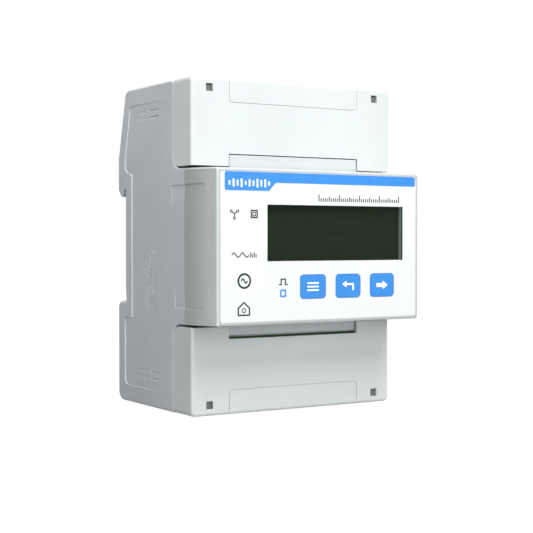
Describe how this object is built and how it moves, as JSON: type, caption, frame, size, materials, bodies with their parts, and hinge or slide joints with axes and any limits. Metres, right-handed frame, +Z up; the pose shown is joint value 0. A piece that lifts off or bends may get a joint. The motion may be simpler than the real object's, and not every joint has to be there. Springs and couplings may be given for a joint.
{
  "type": "din rail electricity meter",
  "caption": "Smart three-phase electricity meter for a 35 mm rail, with display, keys, lift-off terminal covers, sprung rail clip and full internals.",
  "frame": {"origin": "centre of the rail seat plane, at mid height and mid width", "axes": "+X right seen from the front, -Y out of the display face, +Z up"},
  "size_m": [0.072, 0.0655, 0.1005],
  "materials": {
    "case_grey": "satin moulded plastic",
    "cover_grey": "satin moulded plastic",
    "film_white": "semi-gloss printed film",
    "key_blue": "satin",
    "clear_pane": "clear, polished",
    "lcd_glass": "dark, polished",
    "frame_white": "matt",
    "backlight": "translucent, smooth",
    "tin": "tinned, bright",
    "steel": "zinc plated",
    "brass": "machined",
    "copper": "drawn copper",
    "board_green": "solder mask",
    "terminal_green": "satin",
    "block_grey": "matt",
    "black": "matt",
    "ferrite": "matt",
    "winding_yellow": "taped",
    "capacitor_sleeve": "shrink sleeve",
    "film_yellow": "satin",
    "varistor_blue": "dipped epoxy",
    "resistor_tan": "lacquer",
    "clip_grey": "satin",
    "led_clear": "clear epoxy"
  },
  "bodies": {
    "body": {"base_housing": "case_grey", "front_housing": "case_grey", "label_film": "film_white", "display_window": "clear_pane", "pulse_light_pipe": "clear_pane", "lcd_front_glass": "lcd_glass", "lcd_rear_glass": "lcd_glass", "lcd_frame": "frame_white", "lcd_pins": "tin", "backlight_panel": "backlight", "display_board": "board_green", "display_board_screws": "steel", "tact_switches": "black", "pulse_led": "led_clear", "processor_chip": "black", "memory_chip": "black", "clock_crystal": "steel", "backup_battery": "steel", "board_header": "black", "board_header_pins": "tin", "board_socket": "black", "main_board": "board_green", "main_board_screws": "steel", "metering_chip": "black", "serial_transceiver": "black", "pulse_optocouplers": "frame_white", "bridge_rectifier": "black", "supply_transformer_core": "ferrite", "supply_transformer_winding": "winding_yellow", "supply_transformer_bobbin": "black", "supply_capacitors": "capacitor_sleeve", "suppression_capacitor": "film_yellow", "surge_varistors": "varistor_blue", "fusible_resistors": "resistor_tan", "phase_busbars": "copper", "neutral_busbar": "copper", "current_transformer_cases": "black", "current_transformer_cores": "ferrite", "current_transformer_leads": "tin", "voltage_sense_pins": "brass", "upper_terminal_block": "block_grey", "lower_terminal_block": "block_grey", "upper_terminal_tunnels": "brass", "lower_terminal_tunnels": "brass", "upper_terminal_screws": "steel", "lower_terminal_screws": "steel", "signal_terminal_block": "terminal_green", "signal_terminal_screws": "steel", "signal_terminal_clamps": "tin", "rail_clip_spring": "steel"},
    "menu_key": {"menu_button": "key_blue", "menu_switch_stem": "black"},
    "back_key": {"back_button": "key_blue", "back_switch_stem": "black"},
    "next_key": {"next_button": "key_blue", "next_switch_stem": "black"},
    "rail_clip_slider": {"rail_clip": "clip_grey"},
    "upper_cover": {"upper_terminal_cover": "cover_grey"},
    "lower_cover": {"lower_terminal_cover": "cover_grey"}
  },
  "joints": [
    {"name": "menu_key_press", "type": "slide", "parent": "body", "child": "menu_key", "axis": [0, 1, 0], "range_m": [0, 0.0003], "stiffness_N_per_m": 20, "springref_m": -0.0005},
    {"name": "back_key_press", "type": "slide", "parent": "body", "child": "back_key", "axis": [0, 1, 0], "range_m": [0, 0.0003], "stiffness_N_per_m": 20, "springref_m": -0.0005},
    {"name": "next_key_press", "type": "slide", "parent": "body", "child": "next_key", "axis": [0, 1, 0], "range_m": [0, 0.0003], "stiffness_N_per_m": 20, "springref_m": -0.0005},
    {"name": "rail_clip_slide", "type": "slide", "parent": "body", "child": "rail_clip_slider", "axis": [0, 0, -1], "range_m": [0, 0.003], "stiffness_N_per_m": 200, "springref_m": -0.001, "deforming": ["rail_clip_spring"]},
    {"name": "upper_cover_lift_off", "type": "slide", "parent": "body", "child": "upper_cover", "axis": [0, -1, 0], "range_m": [0, 0.025]},
    {"name": "lower_cover_lift_off", "type": "slide", "parent": "body", "child": "lower_cover", "axis": [0, -1, 0], "range_m": [0, 0.025]}
  ]
}
